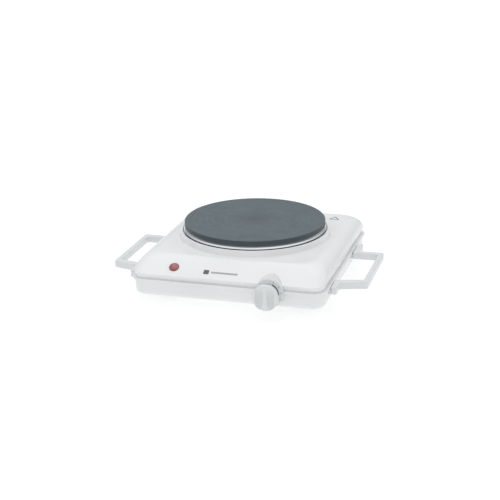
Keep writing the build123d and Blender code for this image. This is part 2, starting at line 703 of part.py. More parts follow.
with BuildPart() as thermostat_bracket:
    with BuildSketch(Plane(origin=(KNOB_X, 0, 0), x_dir=(0, 1, 0), z_dir=(1, 0, 0))):
        with BuildLine():
            Polyline(
                (BRACKET_FRONT, BRACKET_TOP),
                (BRACKET_FRONT, BRACKET_SHELF_Z),
                (BRACKET_DROP_Y, BRACKET_SHELF_Z),
                (BRACKET_DROP_Y, PAN_FLOOR),
                (BRACKET_FOOT_END, PAN_FLOOR),
                (BRACKET_FOOT_END, PAN_FLOOR + PLATE_STEEL),
                (BRACKET_DROP_Y + PLATE_STEEL, PAN_FLOOR + PLATE_STEEL),
                (BRACKET_DROP_Y + PLATE_STEEL, BRACKET_SHELF_Z + PLATE_STEEL),
                (BRACKET_FRONT + PLATE_STEEL, BRACKET_SHELF_Z + PLATE_STEEL),
                (BRACKET_FRONT + PLATE_STEEL, BRACKET_TOP),
                close=True,
            )
        make_face()
    extrude(amount=BRACKET_HALF, both=True)
    with BuildSketch(DIAL.offset(DIAL_Y - BRACKET_FRONT)):
        with Locations((0, (BRACKET_TOP + BRACKET_SHELF_Z + PLATE_STEEL) / 2 - KNOB_Z)):
            Rectangle(2 * BRACKET_WIDE, BRACKET_TOP - BRACKET_SHELF_Z - PLATE_STEEL)
    extrude(amount=-PLATE_STEEL)
    with BuildSketch(Plane.XY.offset(PAN_FLOOR)):
        with Locations((KNOB_X, (BRACKET_DROP_Y + PLATE_STEEL + BRACKET_FOOT_END) / 2)):
            Rectangle(2 * BRACKET_FOOT_HALF, BRACKET_FOOT_END - BRACKET_DROP_Y - PLATE_STEEL)
    extrude(amount=PLATE_STEEL)
    with BuildSketch(DIAL):
        Circle(BUSHING_R)
    extrude(amount=-BEZEL_DEPTH / 2, mode=Mode.SUBTRACT)
    with BuildSketch(Plane.XY.offset(PAN_FLOOR)):
        with Locations(*BRACKET_SCREWS):
            Circle(FLOOR_SCREW_R)
    extrude(amount=PLATE_STEEL, mode=Mode.SUBTRACT)
thermostat_bracket.part.label = "thermostat_bracket"
export_step(thermostat_bracket.part, "parts/thermostat_bracket.step")

with BuildPart() as thermostat_body:
    with BuildSketch(DIAL.offset(DIAL_Y - STAT_BACK)):
        Rectangle(2 * (FRAME_HALF - PLATE_STEEL), 2 * STAT_RISE)
        Circle(PIN_R + RUNNING_FIT, mode=Mode.SUBTRACT)
    extrude(amount=STAT_BACK - STAT_FRONT)
thermostat_body.part.label = "thermostat_body"
export_step(thermostat_body.part, "parts/thermostat_body.step")

with BuildPart() as push_pin:
    with BuildSketch(DIAL.offset(DIAL_Y - PIN_BACK)):
        Circle(PIN_R)
    extrude(amount=PIN_BACK - PIN_FRONT)
push_pin.part.label = "push_pin"
export_step(push_pin.part, "parts/push_pin.step")

with BuildPart() as moving_leaf:
    with BuildSketch(LEAF_LEVEL):
        with BuildLine():
            Polyline(
                (MOVING_LEAF[0], STAT_BACK),
                (MOVING_LEAF[0] + LEAF_FOOT, STAT_BACK),
                (MOVING_LEAF[0] + LEAF_FOOT, MOVING_LEAF_Y),
                (MOVING_LEAF[1], MOVING_LEAF_Y),
                (MOVING_LEAF[1], MOVING_LEAF_Y + LEAF_BLADE),
                (MOVING_LEAF[0] + LEAF_FOOT - TAB_THICKNESS, MOVING_LEAF_Y + LEAF_BLADE),
                (MOVING_LEAF[0] + LEAF_FOOT - TAB_THICKNESS, STAT_BACK + TAB_THICKNESS),
                (MOVING_LEAF[0] + TAB_THICKNESS, STAT_BACK + TAB_THICKNESS),
                (MOVING_LEAF[0] + TAB_THICKNESS, TAB_END),
                (MOVING_LEAF[0], TAB_END),
                close=True,
            )
        make_face()
    extrude(amount=2 * LEAF_HALF)
    with BuildSketch(Plane(origin=(CONTACT_X, MOVING_LEAF_Y + LEAF_BLADE, KNOB_Z), z_dir=(0, 1, 0))):
        Circle(CONTACT_R)
    extrude(amount=CONTACT_THICKNESS)
moving_leaf.part.label = "moving_leaf"
export_step(moving_leaf.part, "parts/moving_leaf.step")

with BuildPart() as fixed_leaf:
    with BuildSketch(LEAF_LEVEL):
        with BuildLine():
            Polyline(
                (FIXED_LEAF[0] - LEAF_FOOT, STAT_BACK),
                (FIXED_LEAF[0], STAT_BACK),
                (FIXED_LEAF[0], TAB_END),
                (FIXED_LEAF[0] - TAB_THICKNESS, TAB_END),
                (FIXED_LEAF[0] - TAB_THICKNESS, FIXED_LEAF_Y + TAB_THICKNESS),
                (FIXED_LEAF[1], FIXED_LEAF_Y + TAB_THICKNESS),
                (FIXED_LEAF[1], FIXED_LEAF_Y),
                (FIXED_LEAF[0] - TAB_THICKNESS, FIXED_LEAF_Y),
                (FIXED_LEAF[0] - TAB_THICKNESS, STAT_BACK + TAB_THICKNESS),
                (FIXED_LEAF[0] - LEAF_FOOT, STAT_BACK + TAB_THICKNESS),
                close=True,
            )
        make_face()
    extrude(amount=2 * LEAF_HALF)
    with BuildSketch(Plane(origin=(CONTACT_X, FIXED_LEAF_Y, KNOB_Z), z_dir=(0, -1, 0))):
        Circle(CONTACT_R)
    extrude(amount=CONTACT_THICKNESS)
fixed_leaf.part.label = "fixed_leaf"
export_step(fixed_leaf.part, "parts/fixed_leaf.step")

# ---------------------------------------------------------------- pilot lamp

with BuildPart() as lamp_lens:
    with BuildSketch(LAMP_SECTION):
        with BuildLine():
            dome_top = (0, LENS_PROUD)
            dome = ThreePointArc(dome_top, (LENS_R / 2, LENS_PROUD * 0.9), (LENS_R - LENS_RIM, LENS_RIM))
            Polyline(
                dome @ 1,
                (LENS_R - LENS_RIM / 2, LENS_RIM * 1.2),
                (LENS_R, LENS_RIM * 0.7),
                (LENS_R, 0),
                (LENS_STEM_R, 0),
                (LENS_STEM_R, -LENS_LENGTH),
                (0, -LENS_LENGTH),
                dome_top,
            )
        make_face()
    revolve(axis=Axis(LAMP_SECTION.origin, LAMP_AXIS))
lamp_lens.part.label = "lamp_lens"
export_step(lamp_lens.part, "parts/lamp_lens.step")

with BuildPart() as lamp_body:
    with BuildSketch(LAMP.offset(-LAMP_LENGTH)):
        Circle(LAMP_R)
    extrude(amount=LAMP_LENGTH - LENS_LENGTH)
lamp_body.part.label = "lamp_body"
export_step(lamp_body.part, "parts/lamp_body.step")

with BuildPart() as lamp_ring:
    with BuildSketch(LAMP.offset(-LAMP_RING_DEPTH)):
        Circle(LAMP_RING_R)
        Circle(LENS_STEM_R, mode=Mode.SUBTRACT)
    extrude(amount=-SHEET)
lamp_ring.part.label = "lamp_ring"
export_step(lamp_ring.part, "parts/lamp_ring.step")

# ---------------------------------------------------------------- cooking plate


def leg_places(radius):
    """Gives the two places where one coil's legs leave the plate, on the connector plane."""
    reach = sqrt(radius**2 - (LEG_SPACING / 2) ** 2)
    return [(reach, -LEG_SPACING / 2), (reach, LEG_SPACING / 2)]


def coil(radius):
    """Makes one tubular heating element: an open ring and its two straight legs."""
    half_gap = degrees(COIL_GAP / 2 / radius)
    with BuildPart() as element:
        with BuildLine(CONNECTOR.offset(COIL_Z)) as ring:
            CenterArc((0, 0), radius, half_gap, 360 - 2 * half_gap)
        with BuildSketch(Plane(origin=ring.line @ 0, z_dir=ring.line % 0)):
            Circle(COIL_TUBE)
        sweep(path=ring.line)
        with BuildSketch(CONNECTOR.offset(COIL_Z)):
            with Locations(*leg_places(radius)):
                Circle(COIL_LEG)
        extrude(amount=LEG_BOTTOM - COIL_Z)
    return element.part


def filling(groove, element):
    """Makes the insulation that fills one groove round its heating element."""
    with BuildPart() as ring:
        with BuildSketch(Plane.XY.offset(RIDGE_BOTTOM)):
            with Locations((0, PLATE_Y)):
                Circle(groove[1])
                Circle(groove[0], mode=Mode.SUBTRACT)
        extrude(amount=GROOVE_TOP - RIDGE_BOTTOM)
        add(element, mode=Mode.SUBTRACT)
    return ring.part


with BuildPart() as hotplate:
    with BuildSketch(PLATE_SECTION):
        with BuildLine():
            Polyline(
                (0, PLATE_TOP - CENTRE_RECESS),
                (CENTRE_RECESS_R, PLATE_TOP - CENTRE_RECESS),
                (CENTRE_RECESS_R + CENTRE_RAMP, PLATE_TOP),
                (PLATE_R - EDGE_CHAMFER, PLATE_TOP),
                (PLATE_R, PLATE_TOP - EDGE_CHAMFER),
                (PLATE_R, RIM_BOTTOM),
                (PLATE_R - RIM_WIDTH, RIM_BOTTOM),
                (PLATE_R - RIM_WIDTH, GROOVE_TOP),
                (OUTER_GROOVE[1] + RIDGE_WIDTH, GROOVE_TOP),
                (OUTER_GROOVE[1] + RIDGE_WIDTH, RIDGE_BOTTOM),
                (OUTER_GROOVE[1], RIDGE_BOTTOM),
                (OUTER_GROOVE[1], GROOVE_TOP),
                (OUTER_GROOVE[0], GROOVE_TOP),
                (OUTER_GROOVE[0], RIDGE_BOTTOM),
                (INNER_GROOVE[1], RIDGE_BOTTOM),
                (INNER_GROOVE[1], GROOVE_TOP),
                (INNER_GROOVE[0], GROOVE_TOP),
                (INNER_GROOVE[0], RIDGE_BOTTOM),
                (INNER_GROOVE[0] - RIDGE_WIDTH, RIDGE_BOTTOM),
                (INNER_GROOVE[0] - RIDGE_WIDTH, GROOVE_TOP),
                (BOSS_R, GROOVE_TOP),
                (BOSS_R, BOSS_BOTTOM),
                (STUD_R, BOSS_BOTTOM),
                (STUD_R, STUD_TOP),
                (0, STUD_TOP),
                close=True,
            )
        make_face()
    revolve(axis=PLATE_AXIS)
hotplate.part.label = "hotplate"
export_step(hotplate.part, "parts/hotplate.step")

with BuildPart() as spill_ring:
    with BuildSketch(PLATE_SECTION):
        with BuildLine():
            Polyline(
                (RING_IN, RIM_BOTTOM),
                *RING_OUTSIDE,
                (RING_FOOT_R, SEAT_TOP),
                (RING_FOOT_R - RING_SHEET, SEAT_TOP),
                *RING_INSIDE,
                (RING_IN, RIM_BOTTOM - RING_TOP_SHEET),
                close=True,
            )
        make_face()
    revolve(axis=PLATE_AXIS)
spill_ring.part.label = "spill_ring"
export_step(spill_ring.part, "parts/spill_ring.step")

outer_coil = coil(OUTER_COIL_R)
outer_coil.label = "outer_coil"
export_step(outer_coil, "parts/outer_coil.step")

inner_coil = coil(INNER_COIL_R)
inner_coil.label = "inner_coil"
export_step(inner_coil, "parts/inner_coil.step")

outer_filling = filling(OUTER_GROOVE, outer_coil)
outer_filling.label = "outer_filling"
export_step(outer_filling, "parts/outer_filling.step")

inner_filling = filling(INNER_GROOVE, inner_coil)
inner_filling.label = "inner_filling"
export_step(inner_filling, "parts/inner_filling.step")

with BuildPart() as plate_cap:
    with BuildSketch(CONNECTOR.offset(RIDGE_BOTTOM)):
        Circle(OUTER_GROOVE[1] + RIDGE_WIDTH)
        Circle(BOSS_R + 5 * CLEAR, mode=Mode.SUBTRACT)
        with Locations(*leg_places(OUTER_COIL_R), *leg_places(INNER_COIL_R)):
            Circle(COIL_LEG + CAP_THICKNESS, mode=Mode.SUBTRACT)
    extrude(amount=-CAP_THICKNESS)
plate_cap.part.label = "plate_cap"
export_step(plate_cap.part, "parts/plate_cap.step")

with BuildPart() as connector_block:
    with BuildSketch(CONNECTOR.offset(CONNECTOR_BOTTOM)):
        with Locations((CONNECTOR_R, 0)):
            RectangleRounded(CONNECTOR_LENGTH, CONNECTOR_WIDTH, 2)
    extrude(amount=RIDGE_BOTTOM - CAP_THICKNESS - CONNECTOR_BOTTOM)
    with BuildSketch(CONNECTOR.offset(LEG_BOTTOM)):
        with Locations(*leg_places(OUTER_COIL_R), *leg_places(INNER_COIL_R)):
            Circle(COIL_LEG)
    extrude(amount=RIDGE_BOTTOM - LEG_BOTTOM, mode=Mode.SUBTRACT)
connector_block.part.label = "connector_block"
export_step(connector_block.part, "parts/connector_block.step")

with BuildPart() as connector_posts:
    with BuildSketch(CONNECTOR.offset(CONNECTOR_BOTTOM)):
        with Locations(*[(radius, 0) for radius in POST_RADII]):
            Circle(POST_R)
    extrude(amount=POST_BOTTOM - CONNECTOR_BOTTOM)
connector_posts.part.label = "connector_posts"
export_step(connector_posts.part, "parts/connector_posts.step")

# ---------------------------------------------------------------- plate clamp, heat shield and cut-out

with BuildPart() as centre_stud:
    with BuildSketch(Plane.XY.offset(STUD_BOTTOM)):
        with Locations((0, PLATE_Y)):
            Circle(STUD_R)
    extrude(amount=STUD_TOP - STUD_BOTTOM)
centre_stud.part.label = "centre_stud"
export_step(centre_stud.part, "parts/centre_stud.step")

with BuildPart() as clamp_bar:
    with BuildSketch(CLAMP_SECTION):
        with BuildLine():
            Polyline(
                (-CLAMP_END, DECK_UNDER),
                (-CLAMP_BEND_HIGH, DECK_UNDER),
                (-CLAMP_BEND_LOW, CLAMP_LOW + CLAMP_THICKNESS),
                (CLAMP_BEND_LOW, CLAMP_LOW + CLAMP_THICKNESS),
                (CLAMP_BEND_HIGH, DECK_UNDER),
                (CLAMP_END, DECK_UNDER),
                (CLAMP_END, DECK_UNDER - CLAMP_THICKNESS),
                (CLAMP_BEND_HIGH + 1, DECK_UNDER - CLAMP_THICKNESS),
                (CLAMP_BEND_LOW + 1, CLAMP_LOW),
                (-CLAMP_BEND_LOW - 1, CLAMP_LOW),
                (-CLAMP_BEND_HIGH - 1, DECK_UNDER - CLAMP_THICKNESS),
                (-CLAMP_END, DECK_UNDER - CLAMP_THICKNESS),
                close=True,
            )
        make_face()
    extrude(amount=CLAMP_WIDTH / 2, both=True)
    for place, radius in (((0, PLATE_Y), STUD_R), (CUTOUT_AT, CUTOUT_STUD_R)):
        with BuildSketch(Plane.XY.offset(CLAMP_LOW)):
            with Locations(place):
                Circle(radius + CLEAR)
        extrude(amount=CLAMP_THICKNESS, mode=Mode.SUBTRACT)
clamp_bar.part.label = "clamp_bar"
export_step(clamp_bar.part, "parts/clamp_bar.step")

with BuildPart() as clamp_washer:
    with BuildSketch(Plane.XY.offset(WASHER_BOTTOM)):
        with Locations((0, PLATE_Y)):
            Circle(WASHER_R)
            Circle(STUD_R + CLEAR, mode=Mode.SUBTRACT)
    extrude(amount=CLAMP_LOW - WASHER_BOTTOM)
clamp_washer.part.label = "clamp_washer"
export_step(clamp_washer.part, "parts/clamp_washer.step")

with BuildPart() as stud_nuts:
    for top in (WASHER_BOTTOM, SHIELD_TOP - SHIELD_SHEET):
        with BuildSketch(Plane.XY.offset(top)):
            with Locations((0, PLATE_Y)):
                RegularPolygon(STUD_NUT_R, 6)
                Circle(STUD_R, mode=Mode.SUBTRACT)
        extrude(amount=-STUD_NUT)
stud_nuts.part.label = "stud_nuts"
export_step(stud_nuts.part, "parts/stud_nuts.step")

with BuildPart() as shield_spacer:
    with BuildSketch(Plane.XY.offset(SHIELD_TOP)):
        with Locations((0, PLATE_Y)):
            Circle(SPACER_R)
            Circle(STUD_R + CLEAR, mode=Mode.SUBTRACT)
    extrude(amount=WASHER_BOTTOM - STUD_NUT - SHIELD_TOP)
shield_spacer.part.label = "shield_spacer"
export_step(shield_spacer.part, "parts/shield_spacer.step")

with BuildPart() as heat_shield:
    with BuildSketch(Plane.XY.offset(SHIELD_TOP)):
        with Locations((0, PLATE_Y)):
            RectangleRounded(2 * SHIELD_HALF, 2 * SHIELD_HALF, PILLAR_R)
            Circle(STUD_R + CLEAR, mode=Mode.SUBTRACT)
    extrude(amount=-SHIELD_SHEET)
heat_shield.part.label = "heat_shield"
export_step(heat_shield.part, "parts/heat_shield.step")

with BuildPart() as thermal_cutout:
    with BuildSketch(Plane.XY.offset(CUTOUT_BOTTOM)):
        with Locations(CUTOUT_AT):
            Circle(CUTOUT_R)
    extrude(amount=CLAMP_LOW - CUTOUT_BOTTOM)
    with BuildSketch(Plane.XY.offset(CLAMP_LOW)):
        with Locations(CUTOUT_AT):
            Circle(CUTOUT_STUD_R)
    extrude(amount=CUTOUT_STUD_TOP - CLAMP_LOW)
thermal_cutout.part.label = "thermal_cutout"
export_step(thermal_cutout.part, "parts/thermal_cutout.step")

with BuildPart() as cutout_nut:
    with BuildSketch(Plane.XY.offset(CLAMP_LOW + CLAMP_THICKNESS)):
        with Locations(CUTOUT_AT):
            RegularPolygon(CUTOUT_NUT_R, 6)
            Circle(CUTOUT_STUD_R, mode=Mode.SUBTRACT)
    extrude(amount=CUTOUT_NUT)
cutout_nut.part.label = "cutout_nut"
export_step(cutout_nut.part, "parts/cutout_nut.step")

with BuildPart() as cutout_tabs:
    with BuildSketch(Plane.XY.offset(CUTOUT_BOTTOM)):
        with Locations(*CUTOUT_TABS):
            Rectangle(TAB_THICKNESS, TAB_WIDTH)
    extrude(amount=TAB_BOTTOM - CUTOUT_BOTTOM)
cutout_tabs.part.label = "cutout_tabs"
export_step(cutout_tabs.part, "parts/cutout_tabs.step")

# ---------------------------------------------------------------- mains side

with BuildPart() as cord_gland:
    with BuildSketch(INLET.offset(GLAND_INNER_END - PAN_BACK)):
        Circle(GLAND_BARREL_R)
    extrude(amount=PAN_BACK - GLAND_INNER_END)
    with BuildSketch(INLET):
        Circle(GLAND_FLANGE_R)
    extrude(amount=GLAND_FLANGE)
    for distance, radius in ((GLAND_FLANGE, GLAND_TAIL_R[0]), (GLAND_TAIL - PAN_BACK, GLAND_TAIL_R[1])):
        with BuildSketch(INLET.offset(distance)):
            Circle(radius)
    loft()
    with BuildSketch(INLET.offset(GLAND_INNER_END - PAN_BACK)):
        Circle(GLAND_BORE)
    extrude(amount=GLAND_TAIL - GLAND_INNER_END, mode=Mode.SUBTRACT)
cord_gland.part.label = "cord_gland"
export_step(cord_gland.part, "parts/cord_gland.step")

with BuildPart() as gland_nut:
    with BuildSketch(INLET.offset(-PAN_WALL)):
        RegularPolygon(GLAND_NUT_R, 6)
        Circle(GLAND_BARREL_R, mode=Mode.SUBTRACT)
    extrude(amount=-GLAND_NUT)
gland_nut.part.label = "gland_nut"
export_step(gland_nut.part, "parts/gland_nut.step")

with BuildPart() as mains_block:
    with BuildSketch(Plane.XY.offset(PAN_FLOOR)):
        with Locations((GLAND_X, BLOCK_Y)):
            RectangleRounded(BLOCK_SIZE[0], BLOCK_SIZE[1], 1)
    extrude(amount=BLOCK_SIZE[2])
    with BuildSketch(Plane(origin=(GLAND_X, BLOCK_Y, INSERT_Z), x_dir=(1, 0, 0), z_dir=(0, -1, 0))):
        with GridLocations(INSERT_PITCH, 1, 3, 1):
            Circle(INSERT_R)
    extrude(amount=BLOCK_SIZE[1], both=True, mode=Mode.SUBTRACT)
    with BuildSketch(Plane.XY.offset(PAN_FLOOR)):
        with Locations(*BLOCK_SCREWS):
            Circle(FLOOR_SCREW_R)
    extrude(amount=FLOOR_SCREW_TOP - PAN_FLOOR, mode=Mode.SUBTRACT)
mains_block.part.label = "mains_block"
export_step(mains_block.part, "parts/mains_block.step")

for index, name in enumerate(("live_insert", "earth_insert", "neutral_insert")):
    place = (GLAND_X + (index - 1) * INSERT_PITCH, BLOCK_Y, INSERT_Z)
    with BuildPart() as insert:
        with BuildSketch(Plane(origin=place, x_dir=(1, 0, 0), z_dir=(0, -1, 0))):
            Circle(INSERT_R)
            Circle(INSERT_BORE, mode=Mode.SUBTRACT)
        extrude(amount=INSERT_LENGTH / 2, both=True)
    insert.part.label = name
    export_step(insert.part, f"parts/{name}.step")

with BuildPart() as earth_screw:
    with BuildSketch(Plane.XY.offset(PAN_BOTTOM)):
        with Locations(EARTH_AT):
            Circle(FOOT_SCREW_HEAD_R)
    extrude(amount=-FLOOR_SCREW_HEAD)
    with BuildSketch(Plane.XY.offset(PAN_BOTTOM)):
        with Locations(EARTH_AT):
            Circle(EARTH_SCREW_R)
    extrude(amount=EARTH_SCREW_TOP - PAN_BOTTOM)
earth_screw.part.label = "earth_screw"
export_step(earth_screw.part, "parts/earth_screw.step")

with BuildPart() as earth_nut:
    with BuildSketch(Plane.XY.offset(PAN_FLOOR + LUG_SHEET)):
        with Locations(EARTH_AT):
            RegularPolygon(EARTH_NUT_R, 6)
            Circle(EARTH_SCREW_R, mode=Mode.SUBTRACT)
    extrude(amount=EARTH_NUT)
earth_nut.part.label = "earth_nut"
export_step(earth_nut.part, "parts/earth_nut.step")

with BuildPart() as earth_lug:
    with BuildSketch(Plane.XY.offset(PAN_FLOOR)):
        with Locations(EARTH_AT):
            Circle(LUG_RING_R)
        with Locations((EARTH_AT[0], (LUG_BARREL[0] + EARTH_AT[1]) / 2)):
            Rectangle(2 * LUG_BARREL_R, EARTH_AT[1] - LUG_BARREL[0])
        with Locations(EARTH_AT):
            Circle(EARTH_SCREW_R + CLEAR, mode=Mode.SUBTRACT)
    extrude(amount=LUG_SHEET)
    with BuildSketch(Plane(origin=(EARTH_AT[0], LUG_BARREL[0], LUG_BARREL_Z), z_dir=(0, 1, 0))):
        Circle(LUG_BARREL_R)
    extrude(amount=LUG_BARREL[1] - LUG_BARREL[0])
    with BuildSketch(Plane(origin=(EARTH_AT[0], LUG_BARREL[0], LUG_BARREL_Z), z_dir=(0, 1, 0))):
        Circle(LEAD_R)
    extrude(amount=LUG_BARREL[1] - LUG_BARREL[0], mode=Mode.SUBTRACT)
earth_lug.part.label = "earth_lug"
export_step(earth_lug.part, "parts/earth_lug.step")

# ---------------------------------------------------------------- internal leads


def lead(radius, points):
    """Makes one insulated lead along its route, with the route's corners rounded."""
    with BuildPart() as wire:
        with BuildLine() as route:
            FilletPolyline(*points, radius=LEAD_BEND)
        with BuildSketch(Plane(origin=route.line @ 0, z_dir=route.line % 0)):
            Circle(radius)
        sweep(path=route.line)
    return wire.part


def behind_lamp(across, distance):
    """Gives a point at some distance behind the lamp's tail, beside its axis."""
    depth = LAMP_LENGTH + distance
    return LAMP_X + across, LAMP_Y - depth * LAMP_AXIS[1], LAMP_Z - depth * LAMP_AXIS[2]


# Routes of the leads, from one terminal to the other
LEADS = {
    "live_lead": (
        LEAD_R,
        [
            (GLAND_X - INSERT_PITCH, LEAD_IN_Y, INSERT_Z),
            (GLAND_X - INSERT_PITCH, 80, INSERT_Z),
            (GLAND_X - INSERT_PITCH, 80, LEAD_HIGH),
            (-35.8, 30, LEAD_HIGH),
            (-35.8, -15.65, LEAD_HIGH),
        ],
    ),
    "cutout_lead": (
        LEAD_R,
        [(-27.8, -21.95, LEAD_HIGH), (-27.8, -56, LEAD_HIGH), (68.6, -56, KNOB_Z), (68.6, TAB_END, KNOB_Z)],
    ),
    "thermostat_lead": (
        LEAD_R,
        [
            (45.4, TAB_END, KNOB_Z),
            (45.4, -65, KNOB_Z),
            (46.5, -65, 40),
            (50.2, -37.2, 40),
            (50.2, -37.2, POST_BOTTOM),
        ],
    ),
    "neutral_lead": (
        LEAD_R,
        [
            (GLAND_X + INSERT_PITCH, LEAD_IN_Y, INSERT_Z),
            (GLAND_X + INSERT_PITCH, 80, INSERT_Z),
            (GLAND_X + INSERT_PITCH, 80, 40.5),
            (35.4, -10, 40.5),
            (35.4, -22.4, 40.5),
            (35.4, -22.4, POST_BOTTOM),
        ],
    ),
    "earth_lead": (
        LEAD_R,
        [
            (GLAND_X, LEAD_IN_Y, INSERT_Z),
            (GLAND_X, 84, INSERT_Z),
            (GLAND_X, 84, LUG_BARREL_Z),
            (EARTH_AT[0], 84, LUG_BARREL_Z),
            (EARTH_AT[0], 103, LUG_BARREL_Z),
        ],
    ),
    "lamp_neutral_lead": (
        LAMP_LEAD_R,
        [
            behind_lamp(-2, 0),
            behind_lamp(-2, 7),
            (-60, -70, 16.6),
            (36, -51, 16.6),
            (36, -51, LAMP_LEAD_HIGH),
            (40.3, -27.3, LAMP_LEAD_HIGH),
            (40.3, -27.3, POST_BOTTOM),
        ],
    ),
    "lamp_live_lead": (
        LAMP_LEAD_R,
        [
            behind_lamp(2, 0),
            behind_lamp(2, 3.2),
            (-56, -75, 19.8),
            (42, -53, 19.8),
            (42, -53, LAMP_LEAD_HIGH),
            (45.3, -32.3, LAMP_LEAD_HIGH),
            (45.3, -32.3, POST_BOTTOM),
        ],
    ),
}

for name, (radius, points) in LEADS.items():
    wire = lead(radius, points)
    wire.label = name
    export_step(wire, f"parts/{name}.step")
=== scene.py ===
import json
from math import cos, pi, radians, sin

import bpy
from mathutils import Matrix, Vector


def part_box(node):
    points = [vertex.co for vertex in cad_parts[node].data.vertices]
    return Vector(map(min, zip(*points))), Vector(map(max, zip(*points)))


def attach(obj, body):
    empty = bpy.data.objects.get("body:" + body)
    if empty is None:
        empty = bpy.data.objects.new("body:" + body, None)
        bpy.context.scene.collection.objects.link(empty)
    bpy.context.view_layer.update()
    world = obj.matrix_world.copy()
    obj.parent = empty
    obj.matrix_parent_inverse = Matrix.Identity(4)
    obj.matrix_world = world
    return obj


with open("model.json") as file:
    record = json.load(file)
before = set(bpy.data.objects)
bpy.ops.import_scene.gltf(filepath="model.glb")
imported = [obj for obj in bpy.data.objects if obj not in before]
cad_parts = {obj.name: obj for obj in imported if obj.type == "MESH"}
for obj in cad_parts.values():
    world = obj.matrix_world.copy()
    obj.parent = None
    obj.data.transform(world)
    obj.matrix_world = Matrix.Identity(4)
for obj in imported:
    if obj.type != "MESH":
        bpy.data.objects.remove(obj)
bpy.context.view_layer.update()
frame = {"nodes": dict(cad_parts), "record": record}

MM = 0.001
nodes = frame["nodes"]
plate_low, plate_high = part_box("hotplate")
shell_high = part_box("top_shell")[1]
PLATE_CENTRE = (plate_low + plate_high) / 2
PLATE_RADIUS = (plate_high.x - plate_low.x) / 2

# ---------------------------------------------------------------- camera, at the photograph's angle

AZIMUTH = radians(16.5)
ELEVATION = radians(19.1)
ROLL = radians(-0.9)
DISTANCE = 1.5957
TARGET = Vector((-7.5, 13.0, 33.9)) * MM
SENSOR_WIDTH = 36.0
FOCAL_LENGTH = 86.4
FARTHEST = 50.0

back = Vector((sin(AZIMUTH) * cos(ELEVATION), -cos(AZIMUTH) * cos(ELEVATION), sin(ELEVATION)))
level = Vector((cos(AZIMUTH), sin(AZIMUTH), 0.0))
upright = back.cross(level)
right = level * cos(ROLL) + upright * sin(ROLL)
up = upright * cos(ROLL) - level * sin(ROLL)
camera = bpy.data.objects.new("camera", bpy.data.cameras.new("camera"))
bpy.context.scene.collection.objects.link(camera)
camera.data.sensor_width = SENSOR_WIDTH
camera.data.lens = FOCAL_LENGTH
camera.data.clip_end = FARTHEST
aim = Matrix((right, up, back)).transposed().to_4x4()
camera.matrix_world = Matrix.Translation(TARGET + back * DISTANCE) @ aim
bpy.context.scene.camera = camera

# ---------------------------------------------------------------- node helpers

# Places of the colour sockets on Blender's Mix node
MIX_FIRST = 6
MIX_SECOND = 7
MIX_RESULT = 2


class Shader:
    """A node material with a Principled shader, its nodes added one by one."""

    def __init__(self, name, **sockets):
        self.material = bpy.data.materials.new(name)
        self.material.use_nodes = True
        self.tree = self.material.node_tree
        self.surface = self.tree.nodes["Principled BSDF"]
        for socket, value in sockets.items():
            self.surface.inputs[socket.replace("_", " ")].default_value = value
        self.place = self.add("ShaderNodeTexCoord").outputs["Object"]

    def add(self, kind, links=None, **settings):
        """Adds one node, with its properties set and its inputs linked or given values."""
        node = self.tree.nodes.new(kind)
        for key, value in settings.items():
            setattr(node, key, value)
        for key, value in (links or {}).items():
            if isinstance(value, bpy.types.NodeSocket):
                self.tree.links.new(value, node.inputs[key])
            else:
                node.inputs[key].default_value = value
        return node

    def join(self, output, socket):
        self.tree.links.new(output, self.surface.inputs[socket])

    def math(self, operation, *values):
        return self.add("ShaderNodeMath", dict(enumerate(values)), operation=operation).outputs[0]

    def noise(self, scale, detail=3.0, rough=0.5, vector=None):
        links = {"Vector": vector or self.place, "Scale": scale, "Detail": detail, "Roughness": rough}
        return self.add("ShaderNodeTexNoise", links).outputs["Fac"]

    def moved(self, location=(0, 0, 0), rotation=(0, 0, 0), scale=(1, 1, 1)):
        links = {"Vector": self.place, "Location": location, "Rotation": rotation, "Scale": scale}
        return self.add("ShaderNodeMapping", links).outputs["Vector"]

    def off_axis(self, centre, across):
        """Distance from a line through the centre; across is 1 in the two directions square to it."""
        centred = self.moved(location=-centre)
        links = {0: centred, 1: across}
        flat = self.add("ShaderNodeVectorMath", links, operation="MULTIPLY").outputs[0]
        return self.add("ShaderNodeVectorMath", {0: flat}, operation="LENGTH").outputs["Value"]

    def band(self, value, low, high, to_low, to_high):
        """Maps a value from one range to another, clamped."""
        links = {"Value": value, "From Min": low, "From Max": high, "To Min": to_low, "To Max": to_high}
        return self.add("ShaderNodeMapRange", links).outputs["Result"]

    def blend(self, factor, one, two):
        """Colour that goes from the first to the second as the factor goes from 0 to 1."""
        node = self.add("ShaderNodeMix", {"Factor": factor}, data_type="RGBA", blend_type="MIX")
        for socket, value in ((node.inputs[MIX_FIRST], one), (node.inputs[MIX_SECOND], two)):
            if isinstance(value, bpy.types.NodeSocket):
                self.tree.links.new(value, socket)
            else:
                socket.default_value = value
        return node.outputs[MIX_RESULT]

    def bump(self, height, depth, strength=1.0):
        """Relief from a height, on top of any relief the surface already has."""
        links = {"Height": height, "Distance": depth, "Strength": strength}
        if self.surface.inputs["Normal"].links:
            links["Normal"] = self.surface.inputs["Normal"].links[0].from_socket
        self.join(self.add("ShaderNodeBump", links).outputs["Normal"], "Normal")


def rgba(red, green, blue):
    return (red, green, blue, 1.0)


def shade(colour, factor):
    return tuple(channel * factor for channel in colour[:3]) + (1.0,)


